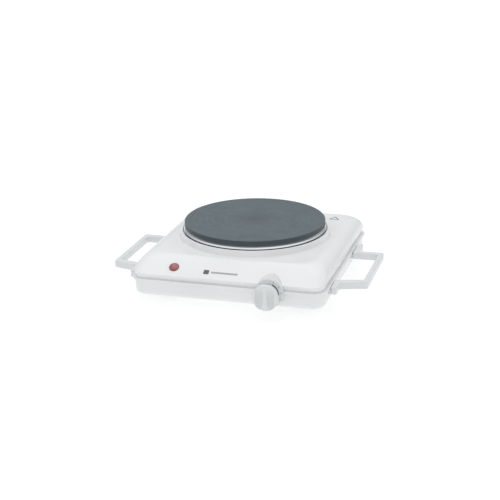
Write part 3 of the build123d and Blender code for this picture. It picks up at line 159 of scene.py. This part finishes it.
def moulded(name, colour, roughness, grain, depth, **sockets):
    """Plastic, rubber or ink: faint clouding, dark specks, uneven gloss and a fine grain."""
    skin = Shader(name, **sockets)
    clouds = skin.noise(35.0, 4.0, 0.6)
    specks = skin.noise(900.0, 2.0, 0.6)
    tone = skin.blend(skin.band(clouds, 0.3, 0.7, 0.0, 1.0), shade(colour, 0.965), shade(colour, 1.02))
    dust = skin.band(specks, 0.66, 0.8, 0.0, 0.25)
    skin.join(skin.blend(dust, tone, shade(colour, 0.9)), "Base Color")
    handled = skin.noise(120.0, 5.0, 0.65)
    skin.join(skin.band(handled, 0.3, 0.7, roughness - 0.05, roughness + 0.07), "Roughness")
    skin.bump(skin.noise(grain, 2.0, 0.5), depth)
    return skin.material


def metal(name, colour, roughness, stretch, depth):
    """Drawn or rolled metal: fine lines along one direction, and patches of darker colour."""
    skin = Shader(name, Metallic=1.0)
    lines = skin.noise(60.0, 4.0, 0.7, skin.moved(scale=stretch))
    patches = skin.noise(90.0, 3.0, 0.6)
    clean = skin.band(patches, 0.35, 0.7, 0.0, 1.0)
    skin.join(skin.blend(clean, shade(colour, 0.85), colour), "Base Color")
    skin.join(skin.band(lines, 0.25, 0.75, roughness - 0.08, roughness + 0.12), "Roughness")
    skin.bump(lines, depth)
    return skin.material


# ---------------------------------------------------------------- materials


def enamel():
    """White stoved enamel on sheet steel: orange peel, faint clouding, a little grime in the specks."""
    skin = Shader("white_enamel", Coat_Weight=0.25, Coat_Roughness=0.12)
    colour = rgba(0.86, 0.875, 0.875)
    clouds = skin.noise(14.0, 5.0, 0.6)
    tone = skin.blend(skin.band(clouds, 0.35, 0.68, 0.0, 1.0), shade(colour, 0.975), shade(colour, 1.01))
    specks = skin.band(skin.noise(650.0, 2.0, 0.5), 0.7, 0.78, 0.0, 0.22)
    skin.join(skin.blend(specks, tone, shade(colour, 0.85)), "Base Color")
    skin.join(skin.band(skin.noise(55.0, 5.0, 0.6), 0.3, 0.7, 0.3, 0.42), "Roughness")
    skin.bump(skin.noise(420.0, 2.0, 0.5), 0.04 * MM, 0.6)
    return skin.material


FINE_RING = 1.1 * MM
COARSE_RING = 8.3 * MM
RING_WANDER = 0.6 * MM
STAIN_INNER = 4.0 * MM
STAIN_OUTER = 34.0 * MM
# Radii between which the plate's top edge takes its painted highlight
EDGE_HIGHLIGHT_INNER = PLATE_RADIUS - 1.7 * MM
EDGE_HIGHLIGHT_OUTER = PLATE_RADIUS - 0.9 * MM


def iron():
    """Cooking plate: grey-blue coated iron turned in fine and coarse rings, with fine pits.

    Its middle is darker; its top edge is lighter, a painted highlight, and its side is darker than the top,
    painted shade.
    """
    skin = Shader("plate_iron", Specular_IOR_Level=0.45)
    radius = skin.off_axis(PLATE_CENTRE, (1.0, 1.0, 0.0))
    shifted = skin.math("MULTIPLY_ADD", skin.noise(40.0, 3.0, 0.6), RING_WANDER, radius)
    groove = skin.math("SINE", skin.math("MULTIPLY", shifted, 2 * pi / FINE_RING))
    swell = skin.math("SINE", skin.math("MULTIPLY", shifted, 2 * pi / COARSE_RING))
    mottle = skin.band(skin.noise(28.0, 6.0, 0.65), 0.3, 0.7, 0.0, 1.0)
    body = skin.blend(mottle, rgba(0.086, 0.118, 0.134), rgba(0.106, 0.142, 0.158))
    faint = skin.band(skin.noise(16.0, 3.0, 0.5), 0.35, 0.65, 0.1, 0.45)
    depth = skin.math("MULTIPLY", skin.band(swell, -1.0, 1.0, 0.0, 1.0), faint)
    ringed = skin.blend(depth, body, rgba(0.070, 0.095, 0.108))
    stain = skin.band(radius, STAIN_INNER, STAIN_OUTER, 0.65, 0.0)
    middle = skin.blend(stain, ringed, rgba(0.062, 0.082, 0.092))
    # Painted highlight: lighter colour along the plate's top edge.
    edge_highlight = skin.band(radius, EDGE_HIGHLIGHT_INNER, EDGE_HIGHLIGHT_OUTER, 0.0, 0.5)
    edge = skin.blend(edge_highlight, middle, rgba(0.17, 0.19, 0.20))
    # Painted shade: the plate's side, where its surface faces outward, is darker than its top.
    normal = skin.add("ShaderNodeNewGeometry").outputs["Normal"]
    facing = skin.add("ShaderNodeSeparateXYZ", {"Vector": normal}).outputs["Z"]
    side = skin.band(facing, 0.25, 0.6, 1.0, 0.0)
    rim = skin.blend(side, edge, rgba(0.046, 0.062, 0.075))
    pits = skin.band(skin.noise(1400.0, 2.0, 0.6), 0.62, 0.75, 0.0, 0.5)
    skin.join(skin.blend(pits, rim, rgba(0.04, 0.05, 0.055)), "Base Color")
    skin.join(skin.band(skin.noise(75.0, 5.0, 0.7), 0.3, 0.7, 0.42, 0.6), "Roughness")
    skin.bump(groove, 0.03 * MM, 0.5)
    skin.bump(skin.noise(1400.0, 2.0, 0.6), 0.05 * MM, 0.5)
    return skin.material


# Heights over the spill ring's underside, and under its top, between which each band of painted shade fades
FOOT_DARK = 4.9 * MM
FOOT_CLEAR = 5.5 * MM
TOP_CLEAR = 2.5 * MM
TOP_DARK = 1.7 * MM


def spun_steel():
    """Bright stainless rim: spun lines round its axis, slight heat bloom, and painted shade as dark bands
    at its foot and top edge.
    """
    skin = Shader("spun_steel", Metallic=1.0)
    centred = skin.moved(location=(-PLATE_CENTRE.x, -PLATE_CENTRE.y, 0.0))
    rings = skin.add(
        "ShaderNodeTexWave",
        {"Vector": centred, "Scale": 900.0, "Distortion": 1.5, "Detail": 2.0},
        wave_type="RINGS",
        rings_direction="Z",
    ).outputs["Fac"]
    bloom = skin.band(skin.noise(22.0, 4.0, 0.6), 0.4, 0.7, 0.0, 1.0)
    bright = skin.blend(bloom, rgba(0.84, 0.86, 0.88), rgba(0.76, 0.78, 0.80))
    height = skin.add("ShaderNodeSeparateXYZ", {"Vector": skin.place}).outputs["Z"]
    low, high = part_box("spill_ring")
    # Painted shade: a dark band near the ring's foot and another under its top edge.
    foot = skin.band(height, low.z + FOOT_DARK, low.z + FOOT_CLEAR, 0.88, 0.0)
    top = skin.band(height, high.z - TOP_CLEAR, high.z - TOP_DARK, 0.0, 0.8)
    foot_shaded = skin.blend(foot, bright, rgba(0.10, 0.11, 0.12))
    skin.join(skin.blend(top, foot_shaded, rgba(0.13, 0.15, 0.17)), "Base Color")
    skin.join(skin.band(rings, 0.0, 1.0, 0.13, 0.24), "Roughness")
    skin.bump(rings, 0.01 * MM, 0.5)
    return skin.material


def lens():
    """Red lamp lens: a clear coat over a faceted red that lets only a little light through."""
    skin = Shader("lamp_red", Coat_Weight=0.8, Coat_Roughness=0.05, Transmission_Weight=0.15)
    facets = skin.add("ShaderNodeTexVoronoi", {"Vector": skin.place, "Scale": 900.0}).outputs["Distance"]
    glow = skin.band(skin.noise(160.0, 3.0, 0.5), 0.3, 0.7, 0.0, 1.0)
    tone = skin.blend(glow, rgba(0.29, 0.03, 0.035), rgba(0.38, 0.055, 0.06))
    glint = skin.band(facets, 0.2, 0.9, 0.0, 0.35)
    skin.join(skin.blend(glint, tone, rgba(0.46, 0.14, 0.14)), "Base Color")
    skin.join(skin.band(facets, 0.0, 1.0, 0.16, 0.28), "Roughness")
    skin.bump(facets, 0.08 * MM, 0.4)
    return skin.material


def mineral(name, colour):
    """Unglazed ceramic or pressed mineral: chalky, with small pores."""
    skin = Shader(name)
    clouds = skin.band(skin.noise(60.0, 5.0, 0.6), 0.3, 0.7, 0.0, 1.0)
    pores = skin.band(skin.noise(700.0, 3.0, 0.6), 0.6, 0.72, 0.0, 0.6)
    tone = skin.blend(clouds, shade(colour, 0.9), colour)
    skin.join(skin.blend(pores, tone, shade(colour, 0.6)), "Base Color")
    skin.join(skin.band(clouds, 0.0, 1.0, 0.75, 0.92), "Roughness")
    skin.bump(skin.noise(700.0, 3.0, 0.6), 0.12 * MM, 0.6)
    return skin.material


# Radii on the dial between which the dark heat mark ends and the pale ticks begin
MARK_END = 13.1 * MM
TICKS_START = 13.5 * MM


def dial_ink():
    """Dial printing: the heat mark in dark grey, and the ticks round it in a pale one."""
    skin = Shader("dial_print", Roughness=0.5)
    low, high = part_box("dial_bezel")
    radius = skin.off_axis((low + high) / 2, (1.0, 0.0, 1.0))
    speckle = skin.band(skin.noise(2600.0, 2.0, 0.6), 0.4, 0.7, 0.0, 0.35)
    dark = skin.blend(speckle, rgba(0.085, 0.09, 0.10), rgba(0.16, 0.165, 0.17))
    pale = skin.blend(speckle, rgba(0.48, 0.49, 0.50), rgba(0.60, 0.61, 0.61))
    outside = skin.band(radius, MARK_END, TICKS_START, 0.0, 1.0)
    skin.join(skin.blend(outside, dark, pale), "Base Color")
    skin.bump(skin.noise(2600.0, 2.0, 0.6), 0.01 * MM)
    return skin.material


def plastic(name, colour, roughness, grain, depth):
    return moulded(name, rgba(*colour), roughness=roughness, grain=grain, depth=depth)


def insulated(name, colour):
    """Sleeve of a lead."""
    return moulded(name, rgba(*colour), roughness=0.6, grain=1800.0, depth=0.05 * MM)


ALONG_X = (9.0, 1.0, 1.0)
ALONG_Y = (1.0, 9.0, 1.0)
ALONG_Z = (1.0, 1.0, 8.0)
LINE_DEPTH = 0.03 * MM

SLOTS = {
    "case_enamel": enamel(),
    "white_plastic": moulded(
        "white_plastic",
        rgba(0.76, 0.78, 0.785),
        roughness=0.34,
        grain=1100.0,
        depth=0.03 * MM,
        Coat_Weight=0.1,
    ),
    "dial_print": dial_ink(),
    "plate_iron": iron(),
    "ring_steel": spun_steel(),
    "coil_steel": metal("coil_steel", rgba(0.32, 0.30, 0.28), 0.5, ALONG_Z, LINE_DEPTH),
    "insulation": mineral("insulation", rgba(0.62, 0.58, 0.50)),
    "zinc_steel": metal("zinc_steel", rgba(0.58, 0.60, 0.62), 0.36, ALONG_Y, LINE_DEPTH),
    "steatite": mineral("steatite", rgba(0.78, 0.75, 0.66)),
    "brass_strip": metal("brass_strip", rgba(0.72, 0.52, 0.22), 0.34, ALONG_X, LINE_DEPTH),
    "lamp_red": lens(),
    "lamp_cream": plastic("lamp_cream", (0.70, 0.67, 0.58), 0.45, 1200.0, 0.03 * MM),
    "foot_rubber": plastic("foot_rubber", (0.03, 0.03, 0.031), 0.75, 900.0, 0.08 * MM),
    "gland_black": plastic("gland_black", (0.035, 0.035, 0.037), 0.5, 1300.0, 0.04 * MM),
    "block_cream": plastic("block_cream", (0.76, 0.72, 0.62), 0.5, 1200.0, 0.04 * MM),
    "cutout_black": plastic("cutout_black", (0.04, 0.035, 0.034), 0.4, 1300.0, 0.04 * MM),
    "lead_brown": insulated("lead_brown", (0.12, 0.05, 0.025)),
    "lead_blue": insulated("lead_blue", (0.03, 0.08, 0.30)),
    "lead_green": insulated("lead_green", (0.12, 0.28, 0.05)),
}

for part in frame["record"]["subparts"]:
    target = nodes[part["node"]]
    finish = SLOTS[part["material_slot"]]
    if target.material_slots:
        for slot in target.material_slots:
            slot.material = finish
    else:
        target.data.materials.append(finish)

# ---------------------------------------------------------------- printed marks on the case


ABOVE_CASE = 200.0 * MM
PRINT_PROUD = 0.07 * MM
PRINT_THICKNESS = 0.05 * MM
PRINT_ROWS = 3


def on_shell(x, y, proud):
    """Point on the case's upper surface above (x, y), a little proud of it."""
    hit, place, normal, _ = nodes["top_shell"].ray_cast(Vector((x, y, ABOVE_CASE)), Vector((0, 0, -1)))
    if not hit:
        raise ValueError(f"no case under {x}, {y}")
    return place + normal * proud


def rounded(points, corner, steps=4):
    """Outline through the given corners, each rounded with a small quadratic curve."""
    outline = []
    count = len(points)
    for index in range(count):
        here = Vector(points[index])
        before = here + (Vector(points[index - 1]) - here).normalized() * corner
        after = here + (Vector(points[(index + 1) % count]) - here).normalized() * corner
        for step in range(steps + 1):
            t = step / steps
            outline.append(before * (1 - t) ** 2 + here * 2 * t * (1 - t) + after * t**2)
    return outline


def printed(name, outer, inner, material):
    """A thin print that follows the case: the band between two outlines with equally many points."""
    vertices = []
    for outside, inside in zip(outer, inner):
        for row in range(PRINT_ROWS + 1):
            point = outside.lerp(inside, row / PRINT_ROWS)
            vertices.append(on_shell(point.x, point.y, PRINT_PROUD))
    faces = []
    count = len(outer)
    for index in range(count):
        for row in range(PRINT_ROWS):
            here = index * (PRINT_ROWS + 1) + row
            beside = (index + 1) % count * (PRINT_ROWS + 1) + row
            faces.append((here, beside, beside + 1, here + 1))
    mesh = bpy.data.meshes.new(name)
    mesh.from_pydata(vertices, [], faces)
    mesh.validate()
    piece = bpy.data.objects.new(name, mesh)
    bpy.context.scene.collection.objects.link(piece)
    mesh.materials.append(material)
    thicken = piece.modifiers.new("thickness", "SOLIDIFY")
    thicken.thickness = PRINT_THICKNESS
    thicken.offset = 0.0
    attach(piece, "case")


def print_ink(name, colour):
    return moulded(name, rgba(*colour), roughness=0.5, grain=2000.0, depth=0.01 * MM)


def triangle_mark(centre_x, centre_y, size, corner, width, colour):
    """Triangle outline on the deck, one point to the rear; width is its share of the way to the centre."""
    angles = [radians(90 + 120 * turn) for turn in range(3)]
    corners = [(centre_x + size * cos(angle), centre_y + size * sin(angle)) for angle in angles]
    outer = rounded(corners, corner)
    inner = [point.lerp(Vector((centre_x, centre_y)), width) for point in outer]
    printed("deck_mark", outer, inner, colour)


def block_mark(name, left, right_end, front, rear, colour):
    """Filled rectangle with rounded corners on the sloping front, closed in along its middle line."""
    corners = [(left, front), (right_end, front), (right_end, rear), (left, rear)]
    outline = rounded(corners, 1.0 * MM)
    middle = (front + rear) / 2
    reach = (rear - front) / 2
    spine = [Vector((min(max(point.x, left + reach), right_end - reach), middle)) for point in outline]
    printed(name, outline, spine, colour)


ink = print_ink("print_grey", (0.11, 0.115, 0.12))
pale_ink = print_ink("print_pale", (0.42, 0.43, 0.44))
MARK_X = plate_high.x - 4 * MM
MARK_Y = shell_high.y - 39 * MM
triangle_mark(MARK_X, MARK_Y, size=8.5 * MM, corner=1.5 * MM, width=0.3, colour=ink)
block_mark("front_print_block", -30.0 * MM, -23.0 * MM, -117.5 * MM, -111.5 * MM, ink)
block_mark("front_print_bar", -20.5 * MM, 14.0 * MM, -115.7 * MM, -113.3 * MM, pale_ink)

# ---------------------------------------------------------------- floor and light

SPAN = 9.0
FLOOR_GLOW = 0.62
floor_mesh = bpy.data.meshes.new("floor")
floor_mesh.from_pydata(
    [(-SPAN, -SPAN, 0.0), (SPAN, -SPAN, 0.0), (SPAN, SPAN, 0.0), (-SPAN, SPAN, 0.0)], [], [(0, 1, 2, 3)]
)
floor = bpy.data.objects.new("floor", floor_mesh)
bpy.context.scene.collection.objects.link(floor)
paper = Shader("floor_paper")
clouds = paper.band(paper.noise(3.0, 3.0, 0.5), 0.3, 0.7, 0.0, 1.0)
paper.join(paper.blend(clouds, rgba(0.45, 0.45, 0.45), rgba(0.46, 0.46, 0.46)), "Base Color")
paper.surface.inputs["Roughness"].default_value = 0.9
paper.surface.inputs["Emission Color"].default_value = rgba(1.0, 1.0, 1.0)
paper.surface.inputs["Emission Strength"].default_value = FLOOR_GLOW
floor_mesh.materials.append(paper.material)

# The sky's strength at the horizon and overhead, and how high it stops rising
SKY_LOW = 0.36
SKY_HIGH = 0.94
SKY_FULL = 0.75

world = bpy.data.worlds.new("studio")
world.use_nodes = True
sky = world.node_tree
direction = sky.nodes.new("ShaderNodeTexCoord").outputs["Generated"]
split = sky.nodes.new("ShaderNodeSeparateXYZ")
sky.links.new(direction, split.inputs[0])
climb = sky.nodes.new("ShaderNodeMapRange")
climb.interpolation_type = "SMOOTHSTEP"
for socket, value in (("From Min", 0.0), ("From Max", SKY_FULL), ("To Min", SKY_LOW), ("To Max", SKY_HIGH)):
    climb.inputs[socket].default_value = value
sky.links.new(split.outputs["Z"], climb.inputs["Value"])
sky.links.new(climb.outputs["Result"], sky.nodes["Background"].inputs["Strength"])
sky.nodes["Background"].inputs["Color"].default_value = rgba(0.985, 0.995, 1.0)
bpy.context.scene.world = world
bpy.context.scene.view_settings.view_transform = "Standard"
bpy.context.scene.view_settings.look = "None"


AIM = Vector((0.0, 0.0, 40.0 * MM))


def softbox(name, place, size, power):
    """A square area light aimed at the object."""
    lamp = bpy.data.lights.new(name, "AREA")
    lamp.shape = "SQUARE"
    lamp.size = size
    lamp.energy = power
    holder = bpy.data.objects.new(name, lamp)
    bpy.context.scene.collection.objects.link(holder)
    holder.location = place
    holder.rotation_euler = (AIM - Vector(place)).to_track_quat("-Z", "Y").to_euler()


softbox("overhead", place=(-0.3, 0.6, 2.4), size=2.0, power=11.0)
